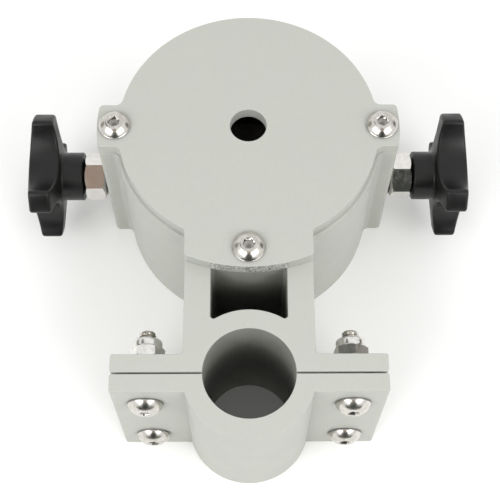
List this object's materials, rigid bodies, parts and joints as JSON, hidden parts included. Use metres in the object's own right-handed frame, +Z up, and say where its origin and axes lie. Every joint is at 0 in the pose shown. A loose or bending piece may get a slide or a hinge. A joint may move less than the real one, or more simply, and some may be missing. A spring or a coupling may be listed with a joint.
{
  "type": "alt azimuth mount head bracket",
  "caption": "Head bracket of an alt azimuth telescope mount: plate-covered drum with side clamp knobs, joined by an arm to a split clamp for a round tube.",
  "frame": {"origin": "bottom centre of the bounding box, on the surface that the drum rim and the clamp stand on", "axes": "+X along the two knobs, +Y from the tube clamp to the drum, +Z up through the drum to its plate"},
  "size_m": [0.2048, 0.1966, 0.0869],
  "materials": {
    "silver_grey": "fine-blasted aluminium with a matt silver-grey coat",
    "stainless_steel": "plain stainless steel, semi-bright",
    "bright_nickel": "bright nickel plate",
    "zinc_steel": "zinc-plated steel",
    "black_plastic": "moulded black plastic with a fine grain and a soft sheen",
    "nylon": "natural nylon",
    "brass": "turned brass"
  },
  "bodies": {
    "root": {"housing": "silver_grey", "top_plate": "silver_grey", "plate_screw_left": "stainless_steel", "plate_screw_right": "stainless_steel", "plate_screw_front": "stainless_steel", "clamp_washer_upper_left": "stainless_steel", "clamp_nut_upper_left": "stainless_steel", "nut_insert_upper_left": "nylon", "clamp_washer_upper_right": "stainless_steel", "clamp_nut_upper_right": "stainless_steel", "nut_insert_upper_right": "nylon", "clamp_washer_lower_left": "stainless_steel", "clamp_nut_lower_left": "stainless_steel", "nut_insert_lower_left": "nylon", "clamp_washer_lower_right": "stainless_steel", "clamp_nut_lower_right": "stainless_steel", "nut_insert_lower_right": "nylon"},
    "pad_left": {"thrust_pad_left": "brass"},
    "knob_left": {"knob_grip_left": "black_plastic", "knob_stud_left": "zinc_steel"},
    "lock_nut_left": {"lock_nut_left": "bright_nickel"},
    "pad_right": {"thrust_pad_right": "brass"},
    "knob_right": {"knob_grip_right": "black_plastic", "knob_stud_right": "zinc_steel"},
    "lock_nut_right": {"lock_nut_right": "bright_nickel"},
    "clamp_cap": {"clamp_cap": "silver_grey"},
    "bolt_upper_left": {"clamp_bolt_upper_left": "stainless_steel"},
    "bolt_upper_right": {"clamp_bolt_upper_right": "stainless_steel"},
    "bolt_lower_left": {"clamp_bolt_lower_left": "stainless_steel"},
    "bolt_lower_right": {"clamp_bolt_lower_right": "stainless_steel"}
  },
  "joints": [
    {"name": "travel_left", "type": "slide", "parent": "root", "child": "pad_left", "axis": [-1, 0, 0], "range_m": [0, 0.0105]},
    {"name": "turn_left", "type": "hinge", "parent": "pad_left", "child": "knob_left", "pos_m": [-0.09, 0.0401, 0.036], "axis": [-1, 0, 0], "range_deg": [0, 2160]},
    {"name": "loosen_left", "type": "hinge", "parent": "root", "child": "lock_nut_left", "pos_m": [-0.07175, 0.0401, 0.036], "axis": [-1, 0, 0], "range_deg": [0, 60]},
    {"name": "travel_right", "type": "slide", "parent": "root", "child": "pad_right", "axis": [1, 0, 0], "range_m": [0, 0.0105]},
    {"name": "turn_right", "type": "hinge", "parent": "pad_right", "child": "knob_right", "pos_m": [0.09, 0.0401, 0.036], "axis": [1, 0, 0], "range_deg": [0, 2160]},
    {"name": "loosen_right", "type": "hinge", "parent": "root", "child": "lock_nut_right", "pos_m": [0.07175, 0.0401, 0.036], "axis": [1, 0, 0], "range_deg": [0, 60]},
    {"name": "cap_travel", "type": "slide", "parent": "root", "child": "clamp_cap", "axis": [0, -1, 0], "range_m": [-0.00025, 0.00375]},
    {"name": "turn_bolt_upper_left", "type": "hinge", "parent": "clamp_cap", "child": "bolt_upper_left", "pos_m": [-0.0427, -0.0793, 0.06135], "axis": [0, -1, 0], "range_deg": [-72.01, 1080.01]},
    {"name": "turn_bolt_upper_right", "type": "hinge", "parent": "clamp_cap", "child": "bolt_upper_right", "pos_m": [0.0427, -0.0793, 0.06135], "axis": [0, -1, 0], "range_deg": [-72.01, 1080.01]},
    {"name": "turn_bolt_lower_left", "type": "hinge", "parent": "clamp_cap", "child": "bolt_lower_left", "pos_m": [-0.0427, -0.0793, 0.01535], "axis": [0, -1, 0], "range_deg": [-72.01, 1080.01]},
    {"name": "turn_bolt_lower_right", "type": "hinge", "parent": "clamp_cap", "child": "bolt_lower_right", "pos_m": [0.0427, -0.0793, 0.01535], "axis": [0, -1, 0], "range_deg": [-72.01, 1080.01]}
  ],
  "couplings": [
    {"joint": "travel_left", "follows": "turn_left", "m_per_rad": 0.00027852},
    {"joint": "travel_right", "follows": "turn_right", "m_per_rad": 0.00027852},
    {"joint": "turn_bolt_upper_left", "follows": "cap_travel", "rad_per_m": 5026.5},
    {"joint": "turn_bolt_upper_right", "follows": "cap_travel", "rad_per_m": 5026.5},
    {"joint": "turn_bolt_lower_left", "follows": "cap_travel", "rad_per_m": 5026.5},
    {"joint": "turn_bolt_lower_right", "follows": "cap_travel", "rad_per_m": 5026.5}
  ]
}
